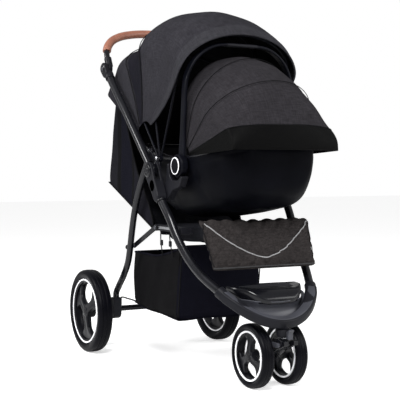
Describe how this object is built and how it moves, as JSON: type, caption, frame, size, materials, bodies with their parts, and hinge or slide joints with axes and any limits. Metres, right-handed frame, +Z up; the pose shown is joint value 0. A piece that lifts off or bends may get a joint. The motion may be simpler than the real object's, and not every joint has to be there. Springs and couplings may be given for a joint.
{
  "type": "jogging stroller",
  "caption": "Three-wheel folding stroller with twin front swivel wheels, fold-back canopy, quilted legrest, basket and a docked infant carrier with its own hood and handle.",
  "frame": {"origin": "on the ground, below the middle of the bounding box", "axes": "+Z up, -Y is the rolling direction (front), +X is the left-hand side of the stroller"},
  "size_m": [0.546, 1.002, 1.1352],
  "materials": {
    "tube": "black powder coat, satin",
    "black_plastic": "fine texture",
    "gloss_plastic": "gloss",
    "tyre": "soft satin rubber",
    "rim": "semi gloss",
    "steel": "plated",
    "leather": "stitched cognac imitation leather",
    "melange": "charcoal melange weave",
    "fabric": "navy black woven polyester",
    "quilt": "diamond quilted, light piping",
    "shell": "moulded, gloss",
    "cable": "sleeved cable"
  },
  "bodies": {
    "frame": {"front_tube_r": "tube", "front_tube_l": "tube", "hub_body_r": "black_plastic", "hub_body_l": "black_plastic", "hub_cover_r": "black_plastic", "hub_cover_l": "black_plastic", "seat_rail_r": "black_plastic", "seat_rail_l": "black_plastic", "carrier_adapter_r": "black_plastic", "carrier_adapter_l": "black_plastic", "front_arch": "black_plastic", "footboard": "gloss_plastic", "seat_base": "fabric", "seat_wall": "fabric", "basket": "fabric", "swivel_housing": "black_plastic", "canopy_bow_rear": "black_plastic", "canopy_fabric": "melange"},
    "backrest": {"backrest": "fabric"},
    "legrest": {"legrest": "quilt"},
    "handle": {"handle_tube_r": "tube", "handle_tube_l": "tube", "handle_joint_r": "black_plastic", "handle_joint_l": "black_plastic"},
    "handlebar": {"handlebar": "tube", "handle_grip": "leather"},
    "handle_button_r": {"handle_button_r": "black_plastic"},
    "handle_button_l": {"handle_button_l": "black_plastic"},
    "rear_legs": {"rear_leg_r": "tube", "rear_leg_l": "tube", "axle_housing_r": "black_plastic", "axle_housing_l": "black_plastic", "rear_axle": "steel", "brake_cable": "cable"},
    "leg_links": {"leg_link_r": "tube", "leg_link_l": "tube"},
    "brake_pedal": {"brake_pedal": "black_plastic"},
    "rear_wheel_r": {"rear_tyre_r": "tyre", "rear_rim_r": "rim"},
    "rear_wheel_l": {"rear_tyre_l": "tyre", "rear_rim_l": "rim"},
    "fork": {"front_fork": "gloss_plastic", "front_axle": "steel"},
    "swivel_lock": {"swivel_lock": "black_plastic"},
    "front_wheel_r": {"front_tyre_r": "tyre", "front_rim_r": "rim"},
    "front_wheel_l": {"front_tyre_l": "tyre", "front_rim_l": "rim"},
    "canopy_middle": {"canopy_bow_middle": "black_plastic"},
    "canopy_front": {"canopy_bow_front": "black_plastic"},
    "carrier": {"carrier_shell": "shell", "carrier_liner": "fabric", "carrier_hood": "melange"},
    "carrier_hood_bow": {"carrier_hood_bow": "black_plastic"},
    "carry_handle": {"carry_handle": "gloss_plastic"},
    "carry_button_r": {"carry_pivot_button_r": "gloss_plastic"},
    "carry_button_l": {"carry_pivot_button_l": "gloss_plastic"}
  },
  "joints": [
    {"name": "handle_fold", "type": "hinge", "parent": "frame", "child": "handle", "pos_m": [0, -0.07898, 0.62], "axis": [-1, 0, 0], "range_deg": [-140, 0]},
    {"name": "leg_fold", "type": "hinge", "parent": "frame", "child": "rear_legs", "pos_m": [0, -0.02098, 0.677], "axis": [1, 0, 0], "range_deg": [-38, 0]},
    {"name": "link_fold", "type": "hinge", "parent": "rear_legs", "child": "leg_links", "pos_m": [0, 0.17202, 0.372], "axis": [-1, 0, 0], "range_deg": [-16.3, 0]},
    {"name": "handlebar_tilt", "type": "hinge", "parent": "handle", "child": "handlebar", "pos_m": [0, 0.26802, 0.957], "axis": [1, 0, 0], "range_deg": [-55, 35]},
    {"name": "handle_button_press_r", "type": "slide", "parent": "handle", "child": "handle_button_r", "axis": [1, 0, 0], "range_m": [0, 0.003], "stiffness_N_per_m": 600},
    {"name": "handle_button_press_l", "type": "slide", "parent": "handle", "child": "handle_button_l", "axis": [-1, 0, 0], "range_m": [0, 0.003], "stiffness_N_per_m": 600},
    {"name": "rear_wheel_spin_r", "type": "hinge", "parent": "rear_legs", "child": "rear_wheel_r", "pos_m": [-0.252, 0.35602, 0.14], "axis": [1, 0, 0], "continuous": true},
    {"name": "rear_wheel_spin_l", "type": "hinge", "parent": "rear_legs", "child": "rear_wheel_l", "pos_m": [0.252, 0.35602, 0.14], "axis": [1, 0, 0], "continuous": true},
    {"name": "brake_press", "type": "hinge", "parent": "rear_legs", "child": "brake_pedal", "pos_m": [0, 0.35602, 0.14], "axis": [-1, 0, 0], "range_deg": [0, 18]},
    {"name": "front_swivel", "type": "hinge", "parent": "frame", "child": "fork", "pos_m": [0, -0.46398, 0.15], "axis": [0, 0, 1], "continuous": true},
    {"name": "swivel_lock_press", "type": "slide", "parent": "frame", "child": "swivel_lock", "axis": [0, 0, -1], "range_m": [0, 0.006]},
    {"name": "front_wheel_spin_r", "type": "hinge", "parent": "fork", "child": "front_wheel_r", "pos_m": [-0.056, -0.38898, 0.0925], "axis": [1, 0, 0], "continuous": true},
    {"name": "front_wheel_spin_l", "type": "hinge", "parent": "fork", "child": "front_wheel_l", "pos_m": [0.056, -0.38898, 0.0925], "axis": [1, 0, 0], "continuous": true},
    {"name": "backrest_recline", "type": "hinge", "parent": "frame", "child": "backrest", "pos_m": [0, 0.02002, 0.414], "axis": [1, 0, 0], "range_deg": [0, 16]},
    {"name": "legrest_angle", "type": "hinge", "parent": "frame", "child": "legrest", "pos_m": [0, -0.28598, 0.472], "axis": [-1, 0, 0], "range_deg": [0, 60]},
    {"name": "canopy_fold", "type": "hinge", "parent": "frame", "child": "canopy_front", "pos_m": [0, -0.07398, 0.655], "axis": [1, 0, 0], "range_deg": [-62, 0], "deforming": ["canopy_fabric"]},
    {"name": "canopy_middle_fold", "type": "hinge", "parent": "frame", "child": "canopy_middle", "pos_m": [0, -0.07398, 0.655], "axis": [1, 0, 0], "range_deg": [-26, 0]},
    {"name": "carrier_lift", "type": "slide", "parent": "frame", "child": "carrier", "axis": [0, -0.866, 0.5], "range_m": [0, 0.25]},
    {"name": "carry_handle_turn", "type": "hinge", "parent": "carrier", "child": "carry_handle", "pos_m": [0, -0.19498, 0.633], "axis": [1, 0, 0], "range_deg": [-10, 70]},
    {"name": "carry_button_press_r", "type": "slide", "parent": "carry_handle", "child": "carry_button_r", "axis": [1, 0, 0], "range_m": [0, 0.0035], "stiffness_N_per_m": 600},
    {"name": "carry_button_press_l", "type": "slide", "parent": "carry_handle", "child": "carry_button_l", "axis": [-1, 0, 0], "range_m": [0, 0.0035], "stiffness_N_per_m": 600},
    {"name": "carrier_hood_fold", "type": "hinge", "parent": "carrier", "child": "carrier_hood_bow", "pos_m": [0, -0.19498, 0.662], "axis": [1, 0, 0], "range_deg": [0, 75], "deforming": ["carrier_hood"]}
  ],
  "couplings": [
    {"joint": "leg_fold", "follows": "handle_fold", "ratio": 0.27143},
    {"joint": "link_fold", "follows": "handle_fold", "ratio": 0.11643},
    {"joint": "canopy_middle_fold", "follows": "canopy_fold", "ratio": 0.41935}
  ]
}
